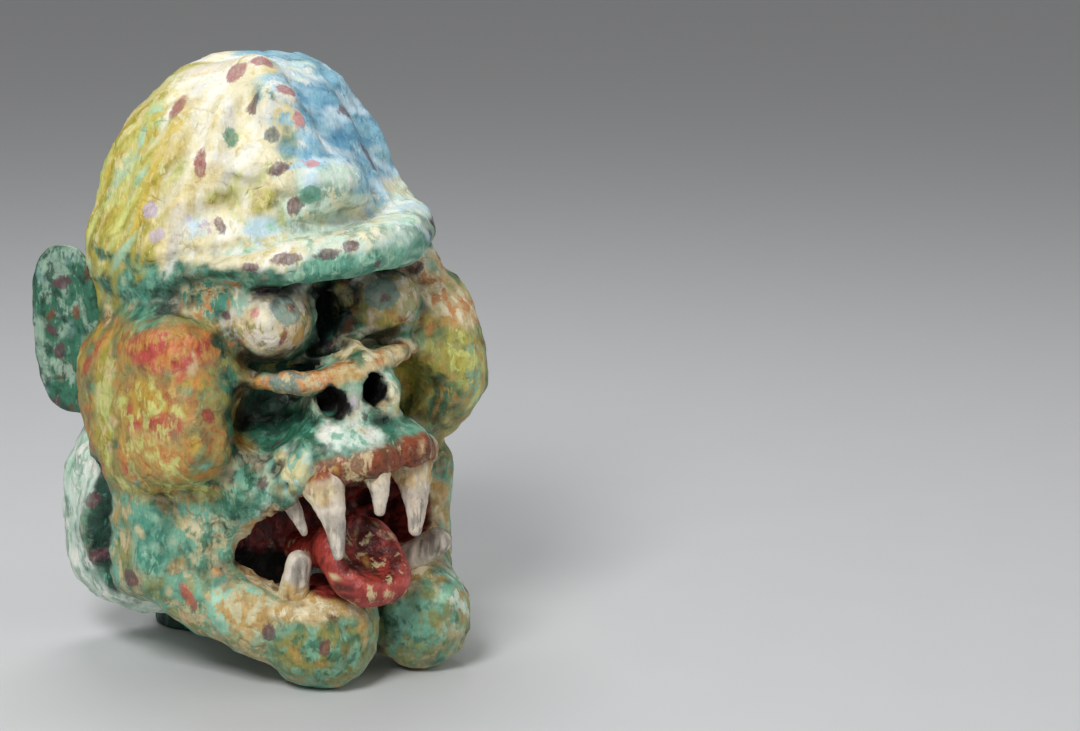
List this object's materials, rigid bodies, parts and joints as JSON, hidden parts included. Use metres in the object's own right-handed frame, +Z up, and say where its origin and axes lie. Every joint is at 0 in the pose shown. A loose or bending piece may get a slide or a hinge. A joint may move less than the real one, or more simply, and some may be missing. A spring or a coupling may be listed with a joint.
{
  "type": "papier-mache carnival mask",
  "caption": "Hollow papier-mache monster head mask with a brimmed hat, bulging eyes and cheeks, open fanged mouth, hanging tongue and neck ring.",
  "frame": {"origin": "on the floor, under the middle of the overall box", "axes": "+Z up, the face looks along -Y, +X is the mask's own left"},
  "size_m": [0.3188, 0.2928, 0.4603],
  "materials": {
    "painted_head": "papier-mache, hand-painted in mottled teal, mint, cream, gold and sky blue with dark dabs, satin varnish",
    "ear_paint": "papier-mache, sage green with pale edges and dark dabs",
    "collar_paint": "papier-mache, dark green paint",
    "tongue_paint": "papier-mache, brick red with worn cream spots",
    "tooth_paint": "papier-mache, ivory with grey mottling and brown roots"
  },
  "bodies": {
    "root": {"head": "painted_head", "ear_left": "ear_paint", "ear_right": "ear_paint", "collar": "collar_paint", "tongue": "tongue_paint", "fang_right_small": "tooth_paint", "fang_right_big": "tooth_paint", "fang_middle": "tooth_paint", "fang_left_big": "tooth_paint", "fang_left_small": "tooth_paint", "tooth_low_right": "tooth_paint", "tooth_low_left": "tooth_paint"}
  },
  "joints": []
}
